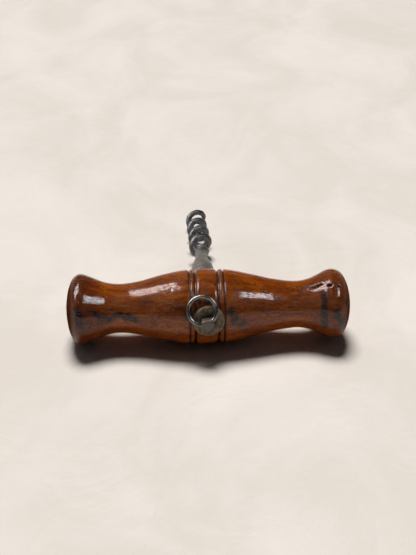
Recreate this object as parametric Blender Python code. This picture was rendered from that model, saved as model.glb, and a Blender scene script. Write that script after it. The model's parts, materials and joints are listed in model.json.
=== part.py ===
"""A straight-pull corkscrew: a turned wooden cross handle on a forged steel screw, with a hanging ring.

Metres, +Z up. The corkscrew lies on a table at z = 0, with its handle along X and its screw pointing to +Y. Each
piece is modelled in the tool's own frame, in millimetres: X along the handle, +Y down the shank to the point of the
worm, and the handle's axis at the origin. The empty tool_frame tips that frame until the worm touches the table.
"""

from math import asin, cos, pi, radians, sin

import bmesh
import bpy
from mathutils import Matrix, Vector

MM = 0.001
GAP = 0.3  # air between pieces that touch on the real tool

# Handle: (distance along X, radius), from the left end to the right end.
HANDLE_OUTLINE = (
    (-52.0, 2.2),
    (-51.75, 4.4),
    (-51.1, 7.7),
    (-49.8, 10.9),
    (-48.4, 12.5),
    (-46.6, 13.1),
    (-44.2, 12.5),
    (-41.3, 11.3),
    (-36.8, 9.65),
    (-31.6, 9.1),
    (-24.9, 10.0),
    (-16.0, 12.3),
    (-8.2, 13.65),
    (0.0, 14.0),
    (8.2, 13.5),
    (16.5, 11.7),
    (24.2, 9.8),
    (32.3, 8.7),
    (37.5, 9.35),
    (42.0, 11.3),
    (44.2, 12.4),
    (46.6, 12.9),
    (48.9, 12.3),
    (50.6, 10.7),
    (52.0, 7.7),
    (52.8, 4.4),
    (53.1, 2.2),
)
HANDLE_RADIUS = 14.0
# Grooves: (distance along X, half its width, depth).
GROOVES = ((-6.65, 0.35, 0.35), (-4.6, 0.6, 0.55), (3.8, 0.6, 0.55), (5.95, 0.35, 0.35))
HANDLE_SIDES = 40
SPAN_STEPS = 2  # outline points between two given ones, counting one of them

# Seats cut flat across the handle, for the washer in front and the shank's collar behind.
FRONT_SEAT = 12.9
BACK_SEAT = 13.1
WASHER_SEAT_RADIUS = 6.1
COLLAR_SEAT_RADIUS = 6.4

# Washer
WASHER_RADIUS = 5.75
WASHER_THICKNESS = 1.0
WASHER_RIM = 0.35  # bevel of its front edge
WASHER_BACK = FRONT_SEAT + GAP
WASHER_FRONT = WASHER_BACK + WASHER_THICKNESS

# Screw: (distance down the shank, radius), from the tang in the handle to the start of the worm.
TANG_RADIUS = 2.2
SHANK_OUTLINE = (
    (-14.9, 2.1),
    (-4.0, 2.2),
    (13.3, 2.2),
    (13.42, 5.9),
    (14.9, 6.1),
    (15.9, 5.2),
    (17.2, 3.6),
    (20.0, 3.0),
    (24.5, 3.4),
    (30.0, 4.25),
    (35.0, 4.4),
    (38.5, 4.1),
    (42.0, 3.45),
    (45.5, 2.8),
    (49.0, 2.35),
    (53.0, 2.2),
)
WORM_START = 54.0  # where the wire leaves the middle of the shank
WORM_SPREAD = 7.0  # length over which the wire reaches its first full turn
WORM_END = 101.0
WORM_PITCH = 10.0
WORM_RADIUS = 3.3  # of the wire's middle line
WIRE_ROOT = 1.62  # the wire's radius where it leaves the shank, thinning to WIRE_TIP before the point
WIRE_TIP = 1.0
POINT_LENGTH = 5.0  # tapered end of the wire, measured down the shank
RIGHTMOST = 67.4  # a place where the wire is furthest to the right
WIRE_SIDES = 12
TURN_STEPS = 16

# The worm was wound by hand: its turns run a little off the shank's axis, and the middle ones are narrower.
WORM_OFFSET = 0.1
WORM_BOW = 0.35
BOW_LENGTH = 42.0
WORM_PINCH = 0.03
PINCH_LENGTH = 27.0

# Post: the hammered end of the tang, with the eye through it. Its section is given as (along, up) corners about the
# eye, as seen from the post's end, and each of POST_SECTIONS is (distance from the handle's axis, size, shift along).
POST_CORNERS = (
    (-2.6, 0.6),
    (-1.7, 1.75),
    (0.3, 2.1),
    (2.0, 1.85),
    (2.6, 0.7),
    (2.4, -1.0),
    (0.6, -2.1),
    (-1.7, -1.75),
    (-2.6, -0.9),
)
EYE_DISTANCE = 16.4
EYE_SHIFT = (-0.6, 0.1)  # right of the shank's axis, and up from it
POST_START = WASHER_FRONT + GAP
POST_END = 18.3
POST_SECTIONS = ((POST_START, 0.92, 0.0), (EYE_DISTANCE, 0.92, 0.0), (POST_END, 1.0, 0.15))
POST_TURN = radians(22)  # the post was left turned this far about the shank
EYE_THROAT = 0.98
EYE_MOUTH = 2.0
EYE_HALF_LENGTH = 3.2

# Hanging ring
RING_RADIUS = 5.15  # of the wire's middle line
RING_WIRE = 0.72
RING_LEAN = radians(21.5)  # from upright across the post, back towards the handle
RING_STEPS = 48
RING_SIDES = 10


def clear_scene():
    for obj in list(bpy.data.objects):
        bpy.data.objects.remove(obj, do_unlink=True)


def material(name, colour, roughness, metallic):
    made = bpy.data.materials.new(name)
    made.use_nodes = True
    shader = made.node_tree.nodes["Principled BSDF"]
    shader.inputs["Base Color"].default_value = (*colour, 1.0)
    shader.inputs["Roughness"].default_value = roughness
    shader.inputs["Metallic"].default_value = metallic
    made.diffuse_color = (*colour, 1.0)
    return made


def catmull(before, start, end, after, share):
    """A point on the smooth curve from start to end, whose neighbours are before and after."""
    return 0.5 * (
        2 * start
        + (end - before) * share
        + (2 * before - 5 * start + 4 * end - after) * share**2
        + (3 * start - before - 3 * end + after) * share**3
    )


def smooth_outline(points, steps):
    """The outline through points, with steps points to each span."""
    vectors = [Vector(point) for point in points]
    padded = [vectors[0], *vectors, vectors[-1]]
    found = []
    for i in range(len(vectors) - 1):
        for step in range(steps):
            found.append(catmull(*padded[i : i + 4], step / steps))
    return [*found, vectors[-1]]


def radius_at(outline, place):
    """The outline's radius at a place along it."""
    for start, end in zip(outline, outline[1:]):
        if start.x <= place <= end.x:
            share = (place - start.x) / (end.x - start.x)
            return start.y + share * (end.y - start.y)
    return 0.0


def cut_grooves(outline, grooves):
    """The outline with each groove's three points in place of those that it covers."""
    kept = [point for point in outline if all(abs(point.x - place) > half for place, half, _ in grooves)]
    for place, half, depth in grooves:
        for offset, drop in ((-half, 0.0), (0.0, depth), (half, 0.0)):
            at = place + offset
            kept.append(Vector((at, radius_at(outline, at) - drop)))
    return sorted(kept, key=lambda point: point.x)


def mesh_object(name, shape, look, parent):
    mesh = bpy.data.meshes.new(name)
    bmesh.ops.recalc_face_normals(shape, faces=shape.faces)
    shape.to_mesh(mesh)
    shape.free()
    mesh.transform(Matrix.Scale(MM, 4))
    mesh.shade_smooth()
    mesh.set_sharp_from_angle(angle=radians(35))
    obj = bpy.data.objects.new(name, mesh)
    bpy.context.collection.objects.link(obj)
    obj.parent = parent
    if look:
        mesh.materials.append(look)
    return obj


def tube(rings):
    """One closed skin over a row of rings of points, capped at both ends."""
    shape = bmesh.new()
    made = [[shape.verts.new(point) for point in ring] for ring in rings]
    for near, far in zip(made, made[1:]):
        for i in range(len(near)):
            j = (i + 1) % len(near)
            shape.faces.new((near[i], near[j], far[j], far[i]))
    shape.faces.new(made[0])
    shape.faces.new(made[-1])
    return shape


def circle(centre, across, up, radius, sides):
    """Points round centre, in the plane of the unit vectors across and up."""
    angles = [2 * pi * i / sides for i in range(sides)]
    return [centre + radius * (cos(angle) * across + sin(angle) * up) for angle in angles]


def turned(outline, axis, across, sides):
    """A closed turned shape about an axis, from (distance along it, radius) points."""
    up = axis.cross(across)
    return tube([circle(axis * place, across, up, radius, sides) for place, radius in outline])


def cutter(name, shape, parent):
    obj = mesh_object(name, shape, None, parent)
    obj.hide_render = True
    obj.display_type = "WIRE"
    return obj


def combine(obj, other, operation):
    change = obj.modifiers.new(other.name, "BOOLEAN")
    change.operation = operation
    change.solver = "EXACT"
    change.object = other


X, Y, Z = Vector((1, 0, 0)), Vector((0, 1, 0)), Vector((0, 0, 1))
EYE_CENTRE = Vector((EYE_SHIFT[0], -EYE_DISTANCE, EYE_SHIFT[1]))
EYE_AXIS = cos(POST_TURN) * X + sin(POST_TURN) * Z
EYE_UP = cos(POST_TURN) * Z - sin(POST_TURN) * X


def make_handle(parent):
    wood = material("turned_wood", (0.22, 0.055, 0.015), 0.3, 0.0)
    outline = smooth_outline(HANDLE_OUTLINE, SPAN_STEPS)
    handle = mesh_object("handle", turned(cut_grooves(outline, GROOVES), X, Z, HANDLE_SIDES), wood, parent)
    beyond = HANDLE_RADIUS + 4
    bore = TANG_RADIUS + GAP
    tang_way = (
        (-beyond, WASHER_SEAT_RADIUS),
        (-FRONT_SEAT, WASHER_SEAT_RADIUS),
        (-FRONT_SEAT, bore),
        (BACK_SEAT, bore),
        (BACK_SEAT, COLLAR_SEAT_RADIUS),
        (beyond, COLLAR_SEAT_RADIUS),
    )
    combine(handle, cutter("tang_way", turned(tang_way, Y, X, 32), parent), "DIFFERENCE")
    return handle


def make_washer(parent):
    brass = material("aged_brass", (0.16, 0.12, 0.075), 0.45, 1.0)
    hole = TANG_RADIUS + GAP
    section = (
        (-WASHER_BACK, hole),
        (-WASHER_BACK, WASHER_RADIUS),
        (-WASHER_FRONT + WASHER_RIM, WASHER_RADIUS),
        (-WASHER_FRONT, WASHER_RADIUS - 2 * WASHER_RIM),
        (-WASHER_FRONT, hole),
    )
    shape = bmesh.new()
    corners = [shape.verts.new((radius, place, 0.0)) for place, radius in section]
    edges = [shape.edges.new((corners[i], corners[(i + 1) % len(corners)])) for i in range(len(corners))]
    bmesh.ops.spin(shape, geom=corners + edges, axis=Y, cent=(0, 0, 0), angle=2 * pi, steps=40, use_merge=True)
    return mesh_object("washer", shape, brass, parent)


def worm_share(place):
    """How far the wire has come, from 0 at the shank to 1 at the worm's first full turn."""
    share = min(1.0, (place - WORM_START) / WORM_SPREAD)
    return share * share * (3 - 2 * share)


def worm_centre(place):
    """The worm's middle line: it leaves the shank's axis and winds round it like a right-hand thread."""
    turn = 2 * pi * (place - RIGHTMOST)
    offset = WORM_OFFSET + WORM_BOW * cos(turn / BOW_LENGTH)
    radius = WORM_RADIUS * (1 - WORM_PINCH * (1 - cos(turn / PINCH_LENGTH)))
    round_axis = Vector((offset + radius * cos(turn / WORM_PITCH), 0, -radius * sin(turn / WORM_PITCH)))
    return Y * place + round_axis * worm_share(place)


def wire_radius(place, shank_radius):
    """The worm's wire: it thins from the shank's radius along the turns, and runs out to a point."""
    along = (place - WORM_START) / (WORM_END - WORM_START)
    wire = WIRE_ROOT + (WIRE_TIP - WIRE_ROOT) * along**1.5
    point = max(0.0, (place - (WORM_END - POINT_LENGTH)) / POINT_LENGTH)
    return (shank_radius + (wire - shank_radius) * worm_share(place)) * (1 - 0.9 * point**1.5)


def worm_places():
    steps = round((WORM_END - WORM_START) / WORM_PITCH * TURN_STEPS)
    return [WORM_START + (WORM_END - WORM_START) * i / steps for i in range(steps + 1)]


def tilt_to_table():
    """The angle between shank and table when the handle's belly and the worm both touch it."""
    shank_radius = SHANK_OUTLINE[-1][1]
    reaches = [(place, wire_radius(place, shank_radius) - worm_centre(place).z) for place in worm_places()]
    return min(asin((HANDLE_RADIUS - reach) / place) for place, reach in reaches)


def make_screw(parent):
    """Post, tang, collar, shank and worm, which are one forging."""
    steel = material("forged_steel", (0.12, 0.115, 0.11), 0.4, 1.0)
    rings = [circle(Y * place, X, -Z, radius, WIRE_SIDES * 2) for place, radius in SHANK_OUTLINE]
    shank = mesh_object("screw", tube(rings), steel, parent)
    places = worm_places()
    root = SHANK_OUTLINE[-1][1]
    line = [Y * (WORM_START - 3.0)] + [worm_centre(place) for place in places]
    radii = [root * 0.98] + [wire_radius(place, root) for place in places]
    wire_rings = []
    across = X
    for i, centre in enumerate(line):
        ahead = (line[min(i + 1, len(line) - 1)] - line[max(i - 1, 0)]).normalized()
        across = (across - across.dot(ahead) * ahead).normalized()
        wire_rings.append(circle(centre, across, across.cross(ahead), radii[i], WIRE_SIDES))
    worm = cutter("worm_wire", tube(wire_rings), parent)
    combine(shank, worm, "UNION")
    combine(shank, cutter("post_block", make_post(), parent), "UNION")
    combine(shank, cutter("eye_bore", make_eye(), parent), "DIFFERENCE")
    return shank


def make_post():
    """The post's end is spread by the hammer, mostly to the right."""
    rings = []
    for place, size, shift in POST_SECTIONS:
        middle = EYE_CENTRE + shift * EYE_AXIS + (EYE_DISTANCE - place) * Y
        rings.append([middle + size * (along * EYE_AXIS + up * EYE_UP) for along, up in POST_CORNERS])
    return tube(rings)


def make_eye():
    """The eye is wider at both mouths, so that the curved ring can swing in it."""
    section = (
        (-EYE_HALF_LENGTH, EYE_MOUTH),
        (-EYE_HALF_LENGTH / 2, EYE_THROAT * 1.2),
        (0.0, EYE_THROAT),
        (EYE_HALF_LENGTH / 2, EYE_THROAT * 1.2),
        (EYE_HALF_LENGTH, EYE_MOUTH),
    )
    rings = [circle(EYE_CENTRE + place * EYE_AXIS, EYE_UP, Y, radius, 20) for place, radius in section]
    return tube(rings)


def make_ring(parent):
    """The ring's parent sits in the eye, with its X along the eye's axis and its Z towards the ring's middle."""
    steel = material("ring_steel", (0.10, 0.10, 0.105), 0.25, 1.0)
    towards = cos(RING_LEAN) * EYE_UP + sin(RING_LEAN) * Y
    hinge = bpy.data.objects.new("ring_hinge", None)
    bpy.context.collection.objects.link(hinge)
    hinge.parent = parent
    turn = Matrix((EYE_AXIS, towards.cross(EYE_AXIS), towards)).transposed()
    hinge.matrix_basis = Matrix.LocRotScale(EYE_CENTRE * MM, turn, None)
    shape = bmesh.new()
    wire = circle(Vector((0, 0, 0)), Z, Y, RING_WIRE, RING_SIDES)
    corners = [shape.verts.new(point) for point in wire]
    edges = [shape.edges.new((corners[i], corners[(i + 1) % len(corners)])) for i in range(len(corners))]
    centre = Vector((0, 0, RING_RADIUS))
    bmesh.ops.spin(shape, geom=corners + edges, axis=Y, cent=centre, angle=2 * pi, steps=RING_STEPS, use_merge=True)
    return mesh_object("hanging_ring", shape, steel, hinge)


def stand_on_table(frame, pieces):
    """Moves the frame so that the pieces' box stands on z = 0, with its middle over the origin."""
    bpy.context.view_layer.update()
    graph = bpy.context.evaluated_depsgraph_get()
    points = []
    for piece in pieces:
        evaluated = piece.evaluated_get(graph)
        points += [evaluated.matrix_world @ vertex.co for vertex in evaluated.to_mesh().vertices]
        evaluated.to_mesh_clear()
    low = Vector([min(point[axis] for point in points) for axis in range(3)])
    high = Vector([max(point[axis] for point in points) for axis in range(3)])
    frame.location -= Vector(((low.x + high.x) / 2, (low.y + high.y) / 2, low.z))


def main():
    clear_scene()
    frame = bpy.data.objects.new("tool_frame", None)
    bpy.context.collection.objects.link(frame)
    frame.rotation_euler = (-tilt_to_table(), 0, 0)
    pieces = [make_handle(frame), make_screw(frame), make_washer(frame), make_ring(frame)]
    stand_on_table(frame, pieces)


main()
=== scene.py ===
"""The looks of a straight-pull corkscrew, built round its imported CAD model.

Shapes are given in millimetres in the tool's own frame, as in the CAD: X along the handle, +Y down the
shank to the point of the worm, and the handle's axis at the origin. TOOL places that frame in the row frame,
in metres.
"""

import json
from math import cos, pi, radians, sin

import bpy
import numpy as np
from mathutils import Matrix, Vector, noise


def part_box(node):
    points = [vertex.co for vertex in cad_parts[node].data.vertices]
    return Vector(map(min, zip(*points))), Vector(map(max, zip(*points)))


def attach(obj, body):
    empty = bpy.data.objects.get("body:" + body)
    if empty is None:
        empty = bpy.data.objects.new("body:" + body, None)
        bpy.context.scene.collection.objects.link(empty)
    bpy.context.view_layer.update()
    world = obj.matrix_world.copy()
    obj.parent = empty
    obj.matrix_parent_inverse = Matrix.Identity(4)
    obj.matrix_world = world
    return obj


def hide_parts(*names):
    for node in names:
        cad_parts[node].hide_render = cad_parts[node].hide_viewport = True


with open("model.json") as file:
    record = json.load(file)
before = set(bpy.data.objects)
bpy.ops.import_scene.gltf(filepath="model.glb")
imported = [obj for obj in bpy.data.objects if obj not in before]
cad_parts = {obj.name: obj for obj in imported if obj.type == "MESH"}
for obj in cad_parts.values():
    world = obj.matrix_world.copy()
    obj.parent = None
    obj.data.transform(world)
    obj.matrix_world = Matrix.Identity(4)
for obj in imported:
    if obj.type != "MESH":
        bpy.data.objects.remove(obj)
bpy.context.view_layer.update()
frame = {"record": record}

MM = 0.001
X, Y, Z = Vector((1, 0, 0)), Vector((0, 1, 0)), Vector((0, 0, 1))

# Handle: (distance along X, radius), from the left end to the right end.
HANDLE_OUTLINE = (
    (-52.0, 2.2),
    (-51.75, 4.4),
    (-51.1, 7.7),
    (-49.8, 10.9),
    (-48.4, 12.5),
    (-46.6, 13.1),
    (-44.2, 12.5),
    (-41.3, 11.3),
    (-36.8, 9.65),
    (-31.6, 9.1),
    (-24.9, 10.0),
    (-16.0, 12.3),
    (-8.2, 13.65),
    (0.0, 14.0),
    (8.2, 13.5),
    (16.5, 11.7),
    (24.2, 9.8),
    (32.3, 8.7),
    (37.5, 9.35),
    (42.0, 11.3),
    (44.2, 12.4),
    (46.6, 12.9),
    (48.9, 12.3),
    (50.6, 10.7),
    (52.0, 7.7),
    (52.8, 4.4),
    (53.1, 2.2),
)
HANDLE_START = HANDLE_OUTLINE[0][0]
# Grooves: (distance along X, half its width, depth).
GROOVES = ((-6.65, 0.5, 0.32), (-4.6, 0.8, 0.42), (3.8, 0.8, 0.42), (5.95, 0.5, 0.32))
SHOULDER_SLOPE = 0.27  # of the worn edges of the grooves
SHOULDER_END = 1.7  # how far those edges reach, in half widths of the groove
HANDLE_SIDES = 230
STATION_STEP = 0.33  # between two rings of the skin's points
GROOVE_STEP = 0.11  # the same, in and by the grooves

# Marks on the handle: (distance along X, degrees from the top towards the front, half length, half width,
# depth). Gouges go through the polish and are dark inside. Dents only change the shape.
GOUGES = (
    (38.8, 30.5, 1.3, 0.6, 0.4),
    (40.2, 29.0, 1.4, 0.65, 0.45),
    (41.5, 27.5, 1.3, 0.6, 0.4),
    (44.6, 35.0, 1.3, 0.75, 0.4),
    (48.0, 37.0, 0.7, 0.45, 0.3),
)
DENTS = (
    (-13.2, 37, 0.35, 1.0, 0.12),
    (-29.0, 77, 3.8, 0.7, 0.12),
    (-47.5, 84, 0.8, 1.4, 0.15),
    (21.3, 40, 1.0, 0.4, 0.08),
)
SCRATCH = (-13.2, 37)  # a pale scratch: distance along X, degrees from the top
# Dark stain marks, and two patches of painted shade above the washer: (distance along X, degrees from the
# top, half length, half width).
STAINS_AND_SHADE = (
    (-42.6, 71, 1.7, 0.7),
    (-40.9, 75, 1.7, 1.2),
    (-39.3, 81, 1.7, 1.7),
    (-38.0, 86, 1.5, 1.5),
    (-36.2, 90, 2.1, 1.0),
    (-35.2, 69, 1.2, 0.4),
    (-32.7, 82, 2.3, 1.2),
    (-29.7, 87, 2.7, 1.5),
    (-27.1, 93, 2.1, 1.3),
    (-47.2, 68, 1.1, 1.4),
    (-47.1, 79, 1.7, 2.7),
    (-46.7, 92, 1.7, 1.8),
    (-51.2, 88, 0.6, 1.4),
    (-7.9, 82, 1.3, 2.2),
    # these two are painted shade above the washer, in the dark gap under the ring
    (-3.4, 60, 1.6, 1.0),
    (-0.4, 60, 1.8, 1.1),
    (8.2, 76, 1.2, 2.4),
    (9.4, 90, 2.0, 2.4),
    (12.0, 99, 2.2, 1.2),
    (42.4, 60, 1.1, 3.2),
    (42.4, 83, 1.5, 4.6),
    (42.6, 104, 1.3, 3.2),
    (46.9, 86, 1.7, 2.2),
    (48.7, 101, 1.8, 2.4),
    (49.5, 115, 1.4, 1.8),
    (50.4, 66, 0.7, 1.6),
)

# Seats cut flat across the handle, and the way for the tang.
FRONT_SEAT = 12.9
BACK_SEAT = 13.1
WASHER_SEAT_RADIUS = 6.1
COLLAR_SEAT_RADIUS = 6.4
SEAT_CUT = 20.0  # how far out the seats are cut, past the handle's skin
SEAT_SIDES = 96
TANG_RADIUS = 2.2
TANG_AIR = 0.1

# Washer: (distance in front of the handle's axis, radius), round its section.
WASHER_SECTION = (
    (12.96, 2.25),
    (12.96, 5.6),
    (13.1, 5.75),
    (13.65, 5.75),
    (13.95, 5.6),
    (14.12, 5.25),
    (14.14, 4.9),
    (14.1, 4.4),
    (14.16, 3.4),
    (14.19, 2.6),
    (14.12, 2.25),
)
WASHER_SIDES = 120

# Screw: (distance down the shank, radius).
TANG_OUTLINE = (
    (-14.4, 1.7),
    (-13.2, TANG_RADIUS),
    (13.0, TANG_RADIUS),
    (13.14, 5.6),
    (13.4, 5.95),
    (14.9, 6.1),
)
SHANK_OUTLINE = (
    (14.9, 6.1),
    (15.9, 5.2),
    (17.2, 3.6),
    (20.0, 3.0),
    (24.5, 3.4),
    (30.0, 4.25),
    (35.0, 4.4),
    (38.5, 4.1),
    (42.0, 3.45),
    (45.5, 2.8),
    (49.0, 2.35),
    (53.0, 2.2),
)
WORM_START = 54.0
WORM_SPREAD = 7.0  # over this length the wire leaves the shank's axis
WORM_END = 101.0
WORM_PITCH = 10.0
WORM_RADIUS = 3.3
WIRE_ROOT = 1.62
WIRE_TIP = 1.0
POINT_LENGTH = 5.0
RIGHTMOST = 67.4  # a place where a turn is at its furthest right
# The worm is a little bent: its middle sways along X, and its turns aren't equally wide.
WORM_OFFSET = 0.1
WORM_BOW = 0.35
BOW_LENGTH = 42.0
WORM_PINCH = 0.03
PINCH_LENGTH = 27.0
TURN_STEPS = 48
SCREW_SIDES = 40

# Post: the hammered end of the tang. Its corners are (along, up) about the eye.
POST_CORNERS = ((-2.25, 0.1), (-1.55, 2.3), (2.55, 1.3), (2.35, -0.9), (-0.5, -2.25))
EYE_DISTANCE = 16.4
EYE_SHIFT = (-0.6, 0.1)
POST_TURN = radians(22)
# (distance in front of the handle's axis, size, shift along the eye)
POST_SECTIONS = (
    (14.2, 0.88, 0.0),
    (15.4, 0.9, 0.0),
    (16.6, 0.93, 0.0),
    (17.5, 0.97, 0.06),
    (17.95, 1.0, 0.12),
    (18.08, 0.99, 0.13),
    (18.24, 0.93, 0.14),
    (18.3, 0.88, 0.14),
    (18.32, 0.6, 0.12),
    (18.3, 0.3, 0.1),
    (18.29, 0.05, 0.1),
)
EYE_THROAT = 0.98
EYE_MOUTH = 2.0
EYE_HALF_LENGTH = 3.2
EYE_SIDES = 40

# Hanging ring
RING_RADIUS = 5.15
RING_WIRE = 0.72
RING_LEAN = radians(21.5)
RING_JOINT = radians(168)  # where its two ends meet, round the ring from its top
JOINT_GAP = 0.05
RING_STEPS = 160
RING_SIDES = 28

# Camera, floor and lights, in metres
CAMERA_TURN = radians(-2.8)
CAMERA_RISE = radians(29.5)
CAMERA_DISTANCE = 500 * MM
CAMERA_AIM = (0.37 * MM, 10.67 * MM)  # right of the handle's middle and above it, across the view
LENS = 87.24
FLOOR_SIZE = 12.0
KEY_FROM = (-0.06, 0.36, 1.0)
KEY_WIDTH = radians(24)
KEY_STRENGTH = 3.4
KEY_TINT = (1.0, 0.99, 0.975)
SOFTBOX_DISTANCE = 0.9
# Softboxes: (name, direction from the handle, size, strength, tint).
SOFTBOXES = (
    ("warm_softbox", (-0.61, 0.19, 0.768), (0.78, 0.44), 14.0, (1.0, 0.88, 0.85)),
    ("cool_softbox", (0.58, -0.31, 0.765), (0.22, 0.32), 15.0, (0.86, 0.92, 1.0)),
)
WORLD_COLOUR = (0.018, 0.019, 0.02)


def tool_matrix():
    """The tool's frame, from the CAD handle's box and the record's mounts."""
    mounts = {mount["name"]: mount for mount in frame["record"]["mounts"]}
    left_end = mounts["left_handle_end"]["pos_m"]
    shank = -Vector(mounts["post_end"]["axis"]).normalized()
    middle = Vector((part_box("handle")[0].x - HANDLE_START * MM, left_end[1], left_end[2]))
    return Matrix.Translation(middle) @ Matrix((X, shank, X.cross(shank))).transposed().to_4x4()


TOOL = tool_matrix()
EYE_CENTRE = Vector((EYE_SHIFT[0], -EYE_DISTANCE, EYE_SHIFT[1]))
EYE_AXIS = cos(POST_TURN) * X + sin(POST_TURN) * Z
EYE_UP = cos(POST_TURN) * Z - sin(POST_TURN) * X


# ---------------------------------------------------------------- materials


class Look:
    """A material whose nodes are added one call at a time. Its place is in the piece's own millimetres."""

    def __init__(self, name):
        self.material = bpy.data.materials.new(name)
        self.material.use_nodes = True
        self.tree = self.material.node_tree
        self.shader = self.tree.nodes["Principled BSDF"]
        own = self.add("TexCoord", {}).outputs["Object"]
        self.place = self.vector("MULTIPLY", own, (1 / MM, 1 / MM, 1 / MM))

    def add(self, kind, inputs, **settings):
        """A new node. Its inputs are values or the sockets that feed them."""
        node = self.tree.nodes.new("ShaderNode" + kind)
        for name, value in settings.items():
            setattr(node, name, value)
        for key, value in inputs.items():
            self.feed(node.inputs[key], value)
        return node

    def feed(self, socket, value):
        if isinstance(value, bpy.types.NodeSocket):
            self.tree.links.new(value, socket)
        else:
            socket.default_value = value

    def set(self, **inputs):
        """Sets the shader's inputs, with _ for the spaces in their names."""
        for name, value in inputs.items():
            self.feed(self.shader.inputs[name.replace("_", " ")], value)

    def vector(self, operation, first, second):
        return self.add("VectorMath", {0: first, 1: second}, operation=operation).outputs[0]

    def length(self, vector):
        return self.add("VectorMath", {0: vector}, operation="LENGTH").outputs["Value"]

    def maths(self, operation, first, second=0.0):
        return self.add("Math", {0: first, 1: second}, operation=operation).outputs[0]

    def along(self, axis):
        """One coordinate of the place, 0 to 2."""
        return self.add("SeparateXYZ", {0: self.place}).outputs[axis]

    def noise(self, scale, detail=4.0, roughness=0.5, distortion=0.0, seed=0.0):
        """Noise from 0 to 1 whose features are about 1 / scale millimetres, along each axis."""
        at = self.vector("MULTIPLY_ADD", self.place, scale)
        self.feed(at.node.inputs[2], (seed, seed, seed))
        inputs = {"Vector": at, "Scale": 1.0, "Detail": detail, "Roughness": roughness}
        return self.add("TexNoise", {**inputs, "Distortion": distortion}).outputs[0]

    def reach(self, value, start, end, low=0.0, high=1.0):
        """The value's smooth way from start to end, as low to high."""
        inputs = {"Value": value, "From Min": start, "From Max": end, "To Min": low, "To Max": high}
        return self.add("MapRange", inputs, interpolation_type="SMOOTHSTEP").outputs[0]

    def mix(self, share, first, second, blend="MIX"):
        """Two colours mixed by a share from 0 to 1."""
        colours = {6: colour(first), 7: colour(second)}
        return self.add("Mix", {0: share, **colours}, data_type="RGBA", blend_type=blend).outputs[2]

    def patch(self, centre, size, at):
        """1 in the middle of a patch, fading to 0 at its edge."""
        away = self.length(self.vector("DIVIDE", self.vector("SUBTRACT", at, centre), size))
        return self.reach(away, 1.25, 0.55)

    def ragged(self, amount, scale):
        """The place pushed about by noise, for ragged edges."""
        inputs = {"Vector": self.place, "Scale": scale, "Detail": 4.0}
        push = self.vector("SUBTRACT", self.add("TexNoise", inputs).outputs[1], (0.5, 0.5, 0.5))
        moved = self.vector("MULTIPLY_ADD", push, (amount, amount, amount))
        self.feed(moved.node.inputs[2], self.place)
        return moved

    def bump(self, height, depth, under=None):
        """A bump of that depth in millimetres, on top of an earlier one."""
        inputs = {"Height": height, "Distance": depth * MM, "Strength": 1.0}
        if under:
            inputs["Normal"] = under
        return self.add("Bump", inputs).outputs[0]


def colour(value):
    return value if isinstance(value, bpy.types.NodeSocket) else (*value, 1.0)


def on_handle(place, degrees):
    """The point of the handle's skin at a place along it, turned from the top towards the front."""
    xs, radii = zip(*HANDLE_OUTLINE)
    radius = float(np.interp(place, xs, radii))
    return Vector((place, -radius * sin(radians(degrees)), radius * cos(radians(degrees))))


def groove_grime(look):
    """1 in the grooves, 0 on the wood between them."""
    darkening = 0.0
    for place, half, _ in GROOVES:
        off = look.maths("ABSOLUTE", look.maths("SUBTRACT", look.along(0), place))
        darkening = look.maths("MAXIMUM", darkening, look.reach(off, half * 0.6, half * 0.35))
    return darkening


def stains_and_shade(look):
    """1 in the black stain marks and in the painted shade above the washer, 0 outside, with ragged edges
    drawn out along the grain.
    """
    at = look.ragged(2.4, 0.55)
    found = 0.0
    for place, degrees, long, wide in STAINS_AND_SHADE:
        found = look.maths("MAXIMUM", found, look.patch(on_handle(place, degrees), (long, wide, wide), at))
    broken = look.reach(look.noise((0.4, 1.5, 1.5), 5.0, 0.65, seed=3.0), 0.34, 0.46)
    return look.maths("MULTIPLY", found, broken)


def gouge_mask(look):
    """1 in the gouges, 0 outside."""
    found = 0.0
    for place, degrees, long, wide, _ in GOUGES:
        gouge = look.patch(on_handle(place, degrees), (long, wide, wide), look.place)
        found = look.maths("MAXIMUM", found, gouge)
    return found


def worn_ends(look):
    """1 at the handle's end faces, where polish and colour have worn thin, fading to 0 at its swells."""
    right = look.reach(look.along(0), 47.8, 52.0)
    return look.maths("MAXIMUM", right, look.reach(look.along(0), -47.6, -51.0))


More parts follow.
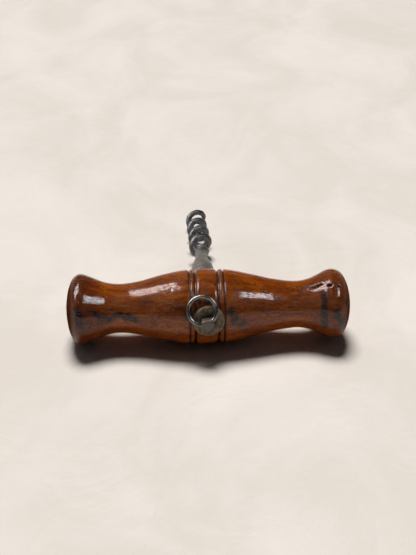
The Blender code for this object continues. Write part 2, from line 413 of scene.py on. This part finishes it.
def turned_wood():
    """Old mahogany under a worn glossy polish: streaks, short dark pores, ingrained soiling, black stain
    marks, and painted shade above the washer.
    """
    look = Look("turned_wood")
    streaks = look.noise((0.035, 0.42, 0.42), 4.0, 0.55, 0.6)
    fibres = look.noise((0.11, 2.6, 2.6), 6.0, 0.6, seed=11.0)
    wood = look.mix(look.reach(streaks, 0.32, 0.68), (0.195, 0.033, 0.0007), (0.375, 0.087, 0.001))
    wood = look.mix(look.reach(fibres, 0.35, 0.7, 0.0, 0.6), wood, (0.13, 0.02, 0.0008))
    left_end = look.reach(look.along(0), -36.0, -46.0, 0.0, 0.8)
    wood = look.mix(left_end, wood, (0.085, 0.0125, 0.0022))
    right_end = look.reach(look.along(0), 36.0, 46.0, 0.0, 0.5)
    wood = look.mix(right_end, wood, (0.1, 0.021, 0.003))
    pores = look.reach(look.noise((0.32, 3.6, 3.6), 2.0, 0.5, seed=5.0), 0.57, 0.64)
    dashes = look.reach(look.noise((0.6, 1.9, 1.9), 3.0, 0.55, seed=71.0), 0.58, 0.63)
    crowd = look.reach(look.noise((0.06, 0.2, 0.2), 3.0, seed=21.0), 0.35, 0.6, 0.45, 1.0)
    pores = look.maths("MULTIPLY", look.maths("MAXIMUM", pores, dashes), crowd)
    wood = look.mix(look.maths("MULTIPLY", pores, 0.85), wood, (0.02, 0.009, 0.005))
    blotches = look.reach(look.noise((0.1, 0.3, 0.3), 5.0, 0.65, seed=31.0), 0.54, 0.68, 0.0, 0.55)
    wood = look.mix(blotches, wood, (0.045, 0.012, 0.002))
    ends = worn_ends(look)
    wood = look.mix(look.maths("MULTIPLY", ends, 0.4), wood, (0.12, 0.045, 0.015))
    dirt_and_shade = look.maths("MAXIMUM", groove_grime(look), stains_and_shade(look))
    # darkens the wood with the soiled grooves, the stain marks and the painted shade above the washer
    wood = look.mix(look.maths("MULTIPLY", dirt_and_shade, 0.94), wood, (0.009, 0.009, 0.0105))
    gouged = gouge_mask(look)
    wood = look.mix(gouged, wood, (0.012, 0.008, 0.005))
    scratch = look.patch(on_handle(*SCRATCH), (0.3, 0.8, 0.8), look.place)
    wood = look.mix(scratch, wood, (0.75, 0.62, 0.5))
    wear = look.reach(look.noise((0.25, 0.5, 0.5), 6.0, 0.65, seed=41.0), 0.4, 0.7)
    roughness = look.maths("ADD", look.maths("MULTIPLY", wear, 0.16), 0.26)
    roughness = look.maths("ADD", roughness, look.maths("MULTIPLY", dirt_and_shade, 0.2))
    coat = look.reach(look.maths("MAXIMUM", ends, gouged), 0.0, 1.0, 0.9, 0.0)
    ripples = look.bump(look.noise((0.09, 0.5, 0.5), 3.0, 0.5, seed=51.0), 0.11)
    grain = look.bump(look.noise((0.22, 2.2, 2.2), 3.0, 0.55, seed=61.0), 0.02, ripples)
    pitted = look.bump(look.maths("MULTIPLY", pores, -1.0), 0.04, grain)
    look.set(Base_Color=wood, Roughness=roughness, Normal=pitted, Coat_Normal=pitted, Coat_Weight=coat)
    look.set(Coat_Roughness=0.045, Coat_IOR=1.5, IOR=1.45, Specular_IOR_Level=0.0)
    return look.material


def forged_steel():
    """Hand-forged steel: a brown-grey patina, bluish where it is scaled, dark and smoother on the worm."""
    look = Look("forged_steel")
    tone = look.noise((0.35, 0.35, 0.35), 5.0, 0.6)
    worm = look.reach(look.along(1), 42.0, 68.0)
    post = look.reach(look.along(1), -13.0, -14.6)
    dull = look.mix(look.reach(tone, 0.35, 0.65), (0.16, 0.135, 0.115), (0.27, 0.25, 0.235))
    dark = look.mix(look.reach(tone, 0.35, 0.65), (0.07, 0.07, 0.066), (0.14, 0.146, 0.158))
    metal = look.mix(worm, dull, dark)
    metal = look.mix(look.maths("MULTIPLY", post, 0.8), metal, (0.115, 0.1, 0.072))
    scale = look.reach(look.noise((0.8, 0.5, 0.8), 4.0, 0.6, seed=7.0), 0.55, 0.7, 0.0, 0.5)
    metal = look.mix(scale, metal, (0.12, 0.13, 0.16))
    rust = look.reach(look.noise((1.1, 1.1, 1.1), 5.0, 0.7, seed=17.0), 0.58, 0.7, 0.0, 0.7)
    rust = look.maths("MULTIPLY", rust, look.reach(worm, 0.0, 1.0, 1.0, 0.2))
    metal = look.mix(rust, metal, (0.1, 0.055, 0.03))
    brushed = look.reach(look.noise((1.8, 0.3, 1.8), 4.0, 0.6, seed=27.0), 0.3, 0.7, 0.4, 0.58)
    smooth = look.reach(tone, 0.3, 0.7, 0.36, 0.5)
    smoother = look.maths("MULTIPLY", worm, look.maths("SUBTRACT", smooth, brushed))
    roughness = look.maths("ADD", smoother, brushed)
    metallic = look.reach(worm, 0.0, 1.0, 0.4, 0.6)
    hammered = look.bump(look.noise((0.55, 0.4, 0.55), 2.0, 0.5, seed=37.0), 0.16)
    pitted = look.bump(look.noise((3.5, 3.0, 3.5), 4.0, 0.6, seed=47.0), 0.02, hammered)
    look.set(Base_Color=metal, Metallic=metallic, Roughness=roughness, Normal=pitted)
    return look.material


def aged_brass():
    """A tarnished washer: brown-grey, with painted shade towards the post and a painted highlight round its
    rim.
    """
    look = Look("aged_brass")
    tone = look.noise((0.7, 0.7, 0.7), 6.0, 0.65)
    metal = look.mix(look.reach(tone, 0.32, 0.68), (0.06, 0.043, 0.026), (0.24, 0.19, 0.125))
    from_axis = look.length(look.vector("MULTIPLY", look.place, (1.0, 0.0, 1.0)))
    # painted highlight: the washer is painted lighter towards its rim
    rim = look.reach(from_axis, 4.9, 5.6, 0.0, 0.6)
    metal = look.mix(rim, metal, (0.3, 0.255, 0.185))
    # painted shade: the washer is painted darker towards the post, where the post meets it
    darkening = look.reach(from_axis, 4.0, 2.6, 0.0, 0.8)
    metal = look.mix(darkening, metal, (0.03, 0.022, 0.014))
    spots = look.reach(look.noise((1.6, 1.6, 1.6), 5.0, 0.65, seed=9.0), 0.5, 0.62, 0.0, 0.75)
    metal = look.mix(spots, metal, (0.055, 0.036, 0.02))
    roughness = look.reach(tone, 0.3, 0.7, 0.38, 0.6)
    scratched = look.bump(look.noise((1.2, 6.0, 4.0), 4.0, 0.6, 0.8, seed=19.0), 0.1)
    dented = look.bump(look.noise((0.6, 0.6, 0.6), 3.0, seed=29.0), 0.3, scratched)
    look.set(Base_Color=metal, Metallic=0.7, Roughness=roughness, Normal=dented)
    return look.material


def ring_steel():
    """Dark polished wire, finely scratched, duller in patches."""
    look = Look("ring_steel")
    tone = look.noise((0.5, 0.5, 0.5), 5.0, 0.6)
    metal = look.mix(look.reach(tone, 0.35, 0.65), (0.15, 0.155, 0.145), (0.28, 0.285, 0.275))
    tarnish = look.reach(look.noise((1.4, 1.4, 1.4), 4.0, 0.6, seed=13.0), 0.56, 0.7, 0.0, 0.5)
    metal = look.mix(tarnish, metal, (0.12, 0.095, 0.07))
    roughness = look.reach(tone, 0.3, 0.7, 0.19, 0.3)
    scratched = look.bump(look.noise((5.0, 5.0, 5.0), 3.0, 0.5, seed=23.0), 0.006)
    look.set(Base_Color=metal, Metallic=0.85, Roughness=roughness, Normal=scratched)
    return look.material


def plaster():
    """The pale floor: faintly clouded, with shallow trowel marks."""
    look = Look("pale_plaster")
    clouds = look.noise((0.018, 0.011, 0.018), 6.0, 0.62, 0.7)
    pale = look.mix(look.reach(clouds, 0.3, 0.7), (0.755, 0.693, 0.634), (0.85, 0.788, 0.732))
    trowel = look.noise((0.03, 0.02, 0.02), 7.0, 0.62, 1.0, seed=33.0)
    look.set(Base_Color=pale, Roughness=0.85, Normal=look.bump(trowel, 1.0), Specular_IOR_Level=0.2)
    return look.material


# ---------------------------------------------------------------- shapes


def catmull(before, start, end, after, share):
    """A point on the smooth curve from start to end, whose neighbours are before and after."""
    return 0.5 * (
        2 * start
        + (end - before) * share
        + (2 * before - 5 * start + 4 * end - after) * share**2
        + (3 * start - before - 3 * end + after) * share**3
    )


def smooth_outline(points, steps):
    """The outline through points, with steps points to each span."""
    vectors = [Vector(point) for point in points]
    padded = [vectors[0], *vectors, vectors[-1]]
    found = []
    for i in range(len(vectors) - 1):
        for step in range(steps):
            found.append(catmull(*padded[i : i + 4], step / steps))
    return [*found, vectors[-1]]


def circle(centre, across, up, radius, sides):
    """Points round centre, in the plane of the unit vectors across and up."""
    angles = [2 * pi * i / sides for i in range(sides)]
    return [centre + radius * (cos(angle) * across + sin(angle) * up) for angle in angles]


def skin(name, rings, matrix, look=None, closed=False):
    """An object with one skin over a row of rings of points, capped at its ends or joined into a loop."""
    count, sides = len(rings), len(rings[0])
    points = [point for ring in rings for point in ring]
    faces = []
    for i in range(count if closed else count - 1):
        near, far = i * sides, (i + 1) % count * sides
        for j in range(sides):
            k = (j + 1) % sides
            faces.append((near + j, near + k, far + k, far + j))
    if not closed:
        faces.append(tuple(reversed(range(sides))))
        faces.append(tuple(range((count - 1) * sides, count * sides)))
    mesh = bpy.data.meshes.new(name)
    mesh.from_pydata(points, [], faces)
    mesh.transform(Matrix.Scale(MM, 4))
    if signed_volume(mesh) < 0:
        mesh.flip_normals()
    obj = bpy.data.objects.new(name, mesh)
    bpy.context.scene.collection.objects.link(obj)
    obj.matrix_world = matrix
    if look:
        mesh.materials.append(look)
    return obj


def signed_volume(mesh):
    """More than 0 where the mesh's faces look out."""
    mesh.calc_loop_triangles()
    places = [vertex.co for vertex in mesh.vertices]
    total = 0.0
    for triangle in mesh.loop_triangles:
        a, b, c = (places[i] for i in triangle.vertices)
        total += a.dot(b.cross(c))
    return total


def roughen(obj, amount, scale, seed):
    """Moves the skin in or out by up to amount millimetres, with features of about 1 / scale millimetres."""
    start = Vector((seed, 2 * seed, 3 * seed))
    normals = [vertex.normal.copy() for vertex in obj.data.vertices]
    for vertex, normal in zip(obj.data.vertices, normals):
        vertex.co += normal * noise.noise(vertex.co * scale / MM + start) * amount * MM


def cut(obj, other, operation="DIFFERENCE"):
    """Applies a Boolean of obj with other, and removes other."""
    change = obj.modifiers.new(other.name, "BOOLEAN")
    change.operation = operation
    change.solver = "EXACT"
    change.object = other
    bpy.context.view_layer.update()
    done = bpy.data.meshes.new_from_object(obj.evaluated_get(bpy.context.evaluated_depsgraph_get()))
    obj.modifiers.clear()
    obj.data = done
    bpy.data.objects.remove(other)


def finish_piece(obj, body, node, angle):
    """Shades a piece smooth but for its edges, and says what it rides on and what it stands for."""
    obj.data.shade_smooth()
    obj.data.set_sharp_from_angle(angle=radians(angle))
    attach(obj, body)
    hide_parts(node)


# ---------------------------------------------------------------- pieces


def handle_stations():
    """(distance along the handle, radius) all along the skin, closer together in the grooves."""
    curve = np.array([tuple(point) for point in smooth_outline(HANDLE_OUTLINE, 16)])
    run = np.concatenate([[0.0], np.cumsum(np.hypot(*np.diff(curve, axis=0).T))])
    found = []
    at = 0.0
    while at < run[-1]:
        place, radius = np.interp(at, run, curve[:, 0]), np.interp(at, run, curve[:, 1])
        found.append((place, radius))
        in_groove = any(abs(place - middle) < 1.6 * half for middle, half, _ in GROOVES)
        at += GROOVE_STEP if in_groove else STATION_STEP
    return [*found, tuple(curve[-1])]


def groove_drop(place):
    """How far the grooves and their worn edges lie under the outline at a place."""
    drop = 0.0
    for middle, half, depth in GROOVES:
        off = (place - middle) / half
        groove = depth * max(0.0, 1 - off * off) ** 1.5
        shoulder = SHOULDER_SLOPE * half * max(0.0, SHOULDER_END - abs(off))
        drop += groove + shoulder
    return drop


def gouge_drop(place, radius, angles):
    """How deep the dents and gouges are at each angle round one station."""
    drop = np.zeros(len(angles))
    for middle, degrees, long, wide, depth in (*GOUGES, *DENTS):
        round_by = (angles - radians(degrees) + pi) % (2 * pi) - pi
        share = ((place - middle) / long) ** 2 + (round_by * radius / wide) ** 2
        drop = np.maximum(drop, depth * np.clip(1 - share, 0, 1) ** 0.8)
    return drop


def make_handle():
    """The turned handle: not quite round, with cut grooves, dents, and flat seats for washer and collar."""
    angles = np.linspace(0, 2 * pi, HANDLE_SIDES, endpoint=False)
    rings = []
    for place, outline in handle_stations():
        radius = outline - groove_drop(place) - gouge_drop(place, outline, angles)
        uneven = 1 + 0.003 * np.sin(2 * angles + place / 17) + 0.0015 * np.sin(3 * angles - place / 9)
        radius = radius * uneven
        rings.append([Vector((place, -r * sin(a), r * cos(a))) for r, a in zip(radius, angles)])
    handle = skin("turned_handle", rings, TOOL, turned_wood())
    roughen(handle, 0.05, 0.12, 4.0)
    cut(handle, way_for_tang())
    finish_piece(handle, "tool", "handle", 50)


def way_for_tang():
    """What the two seats and the bore between them take out of the handle."""
    section = (
        (-SEAT_CUT, WASHER_SEAT_RADIUS),
        (-FRONT_SEAT, WASHER_SEAT_RADIUS),
        (-FRONT_SEAT, TANG_RADIUS + TANG_AIR),
        (BACK_SEAT, TANG_RADIUS + TANG_AIR),
        (BACK_SEAT, COLLAR_SEAT_RADIUS),
        (SEAT_CUT, COLLAR_SEAT_RADIUS),
    )
    rings = [circle(Y * place, X, Z, radius, SEAT_SIDES) for place, radius in section]
    return skin("way_for_tang", rings, TOOL)


def make_washer():
    """A slightly domed washer, worn unevenly, whose hole is tight round the tang."""
    section = smooth_outline((*WASHER_SECTION, WASHER_SECTION[0]), 3)[:-1]
    rings = [circle(-Y * place, X, Z, radius, WASHER_SIDES) for place, radius in section]
    washer = skin("brass_washer", rings, TOOL, aged_brass(), closed=True)
    roughen(washer, 0.06, 0.45, 8.0)
    finish_piece(washer, "tool", "washer", 60)


def worm_share(place):
    """How far the wire has come, from 0 at the shank to 1 at the worm's first full turn."""
    share = min(1.0, (place - WORM_START) / WORM_SPREAD)
    return share * share * (3 - 2 * share)


def worm_centre(place):
    """The worm's middle line: it leaves the shank's axis and winds round it like a right-hand thread."""
    turn = 2 * pi * (place - RIGHTMOST)
    offset = WORM_OFFSET + WORM_BOW * cos(turn / BOW_LENGTH)
    radius = WORM_RADIUS * (1 - WORM_PINCH * (1 - cos(turn / PINCH_LENGTH)))
    round_axis = Vector((offset + radius * cos(turn / WORM_PITCH), 0, -radius * sin(turn / WORM_PITCH)))
    return Y * place + round_axis * worm_share(place)


def wire_radius(place):
    """The worm's wire: it thins from the shank's radius along the turns, and runs out to a point."""
    root = SHANK_OUTLINE[-1][1]
    along = (place - WORM_START) / (WORM_END - WORM_START)
    wire = WIRE_ROOT + (WIRE_TIP - WIRE_ROOT) * along**1.5
    point = max(0.0, (place - (WORM_END - POINT_LENGTH)) / POINT_LENGTH)
    return (root + (wire - root) * worm_share(place)) * (1 - 0.9 * point**1.5)


def make_screw():
    """Tang, collar, shank and worm in one sweep, with the hammered post joined on and its eye bored."""
    line = [(Y * place, radius) for place, radius in TANG_OUTLINE[:-1]]
    line += [(Y * place, radius) for place, radius in smooth_outline(SHANK_OUTLINE, 10)]
    steps = round((WORM_END - WORM_START) / WORM_PITCH * TURN_STEPS)
    for step in range(steps + 1):
        place = WORM_START + (WORM_END - WORM_START) * step / steps
        line.append((worm_centre(place), wire_radius(place)))
    rings = []
    across = X
    for i, (centre, radius) in enumerate(line):
        ahead = (line[min(i + 1, len(line) - 1)][0] - line[max(i - 1, 0)][0]).normalized()
        across = (across - across.dot(ahead) * ahead).normalized()
        rings.append(circle(centre, across, across.cross(ahead), radius, SCREW_SIDES))
    steel = forged_steel()
    screw = skin("forged_screw", rings, TOOL, steel)
    roughen(screw, 0.09, 0.35, 2.0)
    cut(screw, make_post(steel), "UNION")
    cut(screw, make_eye(steel))
    finish_piece(screw, "tool", "screw", 40)


def make_post(steel):
    """The hammered end of the tang: five-sided, with worn corners and a spread and dented face."""
    corners = [Vector(corner) for corner in POST_CORNERS]
    outline = []
    for i, corner in enumerate(corners):
        before, after = corners[i - 1], corners[(i + 1) % len(corners)]
        for share in (0.12, 0.04):
            outline.append(corner.lerp(before, share) * (1 - 0.4 * (0.12 - share)))
        for share in (0.04, 0.12, 0.3, 0.5, 0.7):
            outline.append(corner.lerp(after, share) * (1 - 0.4 * max(0.0, 0.12 - share)))
    rings = []
    for place, size, shift in POST_SECTIONS:
        middle = EYE_CENTRE + shift * EYE_AXIS + (EYE_DISTANCE - place) * Y
        rings.append([middle + size * (along * EYE_AXIS + up * EYE_UP) for along, up in outline])
    post = skin("post", rings, TOOL, steel)
    roughen(post, 0.12, 0.8, 6.0)
    return post


def make_eye(steel):
    """The eye's bore, worn wide at both mouths by the ring."""
    places = [EYE_HALF_LENGTH * i / 10 for i in range(-10, 11)]
    rings = []
    for place in places:
        radius = EYE_THROAT + (EYE_MOUTH - EYE_THROAT) * abs(place / EYE_HALF_LENGTH) ** 2.3
        rings.append(circle(EYE_CENTRE + place * EYE_AXIS, EYE_UP, Y, radius, EYE_SIDES))
    return skin("eye", rings, TOOL, steel)


def make_ring():
    """Wire bent into a ring whose two ends meet in a butt joint."""
    towards = cos(RING_LEAN) * EYE_UP + sin(RING_LEAN) * Y
    turn = Matrix((EYE_AXIS, towards.cross(EYE_AXIS), towards)).transposed().to_4x4()
    place = TOOL @ Matrix.Translation(EYE_CENTRE * MM) @ turn
    gap = JOINT_GAP / RING_RADIUS
    rings = []
    for step in range(RING_STEPS + 1):
        angle = RING_JOINT + gap / 2 + (2 * pi - gap) * step / RING_STEPS
        outward = cos(angle) * Z + sin(angle) * X
        wire = RING_WIRE * (0.9 if step in (0, RING_STEPS) else 1.0)
        rings.append(circle(Z * RING_RADIUS + RING_RADIUS * outward, outward, Y, wire, RING_SIDES))
    ring = skin("wire_ring", rings, place, ring_steel())
    finish_piece(ring, "ring", "hanging_ring", 40)


# ---------------------------------------------------------------- stage


def make_floor():
    half = FLOOR_SIZE / 2
    mesh = bpy.data.meshes.new("floor")
    corners = [(-half, -half, 0), (half, -half, 0), (half, half, 0), (-half, half, 0)]
    mesh.from_pydata(corners, [], [(0, 1, 2, 3)])
    mesh.materials.append(plaster())
    floor = bpy.data.objects.new("floor", mesh)
    bpy.context.scene.collection.objects.link(floor)


def aim(obj, place, target):
    obj.location = place
    obj.rotation_euler = (target - place).to_track_quat("-Z", "Y").to_euler()
    bpy.context.scene.collection.objects.link(obj)


def make_camera():
    middle = TOOL.translation
    turn, rise = CAMERA_TURN, CAMERA_RISE
    back = Vector((sin(turn) * cos(rise), -cos(turn) * cos(rise), sin(rise)))
    right = Vector((cos(turn), sin(turn), 0))
    data = bpy.data.cameras.new("camera")
    data.sensor_width = 36
    data.lens = LENS
    data.clip_start = 0.01
    data.clip_end = 100
    camera = bpy.data.objects.new("camera", data)
    target = middle + right * CAMERA_AIM[0] + back.cross(right) * CAMERA_AIM[1]
    aim(camera, middle + back * CAMERA_DISTANCE, target)
    bpy.context.scene.camera = camera


def softbox(name, direction, size, strength, tint):
    """A rectangular light that is only seen reflected, whose glow is strength at any size and distance."""
    data = bpy.data.lights.new(name, "AREA")
    data.shape = "RECTANGLE"
    data.size, data.size_y = size
    data.energy = strength * pi * size[0] * size[1]
    data.color = tint
    back = Vector(direction).normalized()
    across = (X - X.dot(back) * back).normalized()
    turn = Matrix((across, back.cross(across), back)).transposed().to_4x4()
    light = bpy.data.objects.new(name, data)
    light.matrix_world = Matrix.Translation(TOOL.translation + back * SOFTBOX_DISTANCE) @ turn
    light.visible_diffuse = False
    bpy.context.scene.collection.objects.link(light)


def make_lights():
    """A high soft key from behind, whose shadow falls forward, and softboxes for the polish to reflect."""
    key = bpy.data.lights.new("key", "SUN")
    key.energy = KEY_STRENGTH
    key.angle = KEY_WIDTH
    key.color = KEY_TINT
    key_object = bpy.data.objects.new("key", key)
    aim(key_object, Vector(KEY_FROM), Vector((0, 0, 0)))
    key_object.visible_glossy = False
    for values in SOFTBOXES:
        softbox(*values)
    world = bpy.data.worlds.new("dark_studio")
    world.use_nodes = True
    world.node_tree.nodes["Background"].inputs["Color"].default_value = colour(WORLD_COLOUR)
    bpy.context.scene.world = world
    bpy.context.scene.view_settings.view_transform = "Standard"


make_camera()
make_handle()
make_screw()
make_washer()
make_ring()
make_floor()
make_lights()
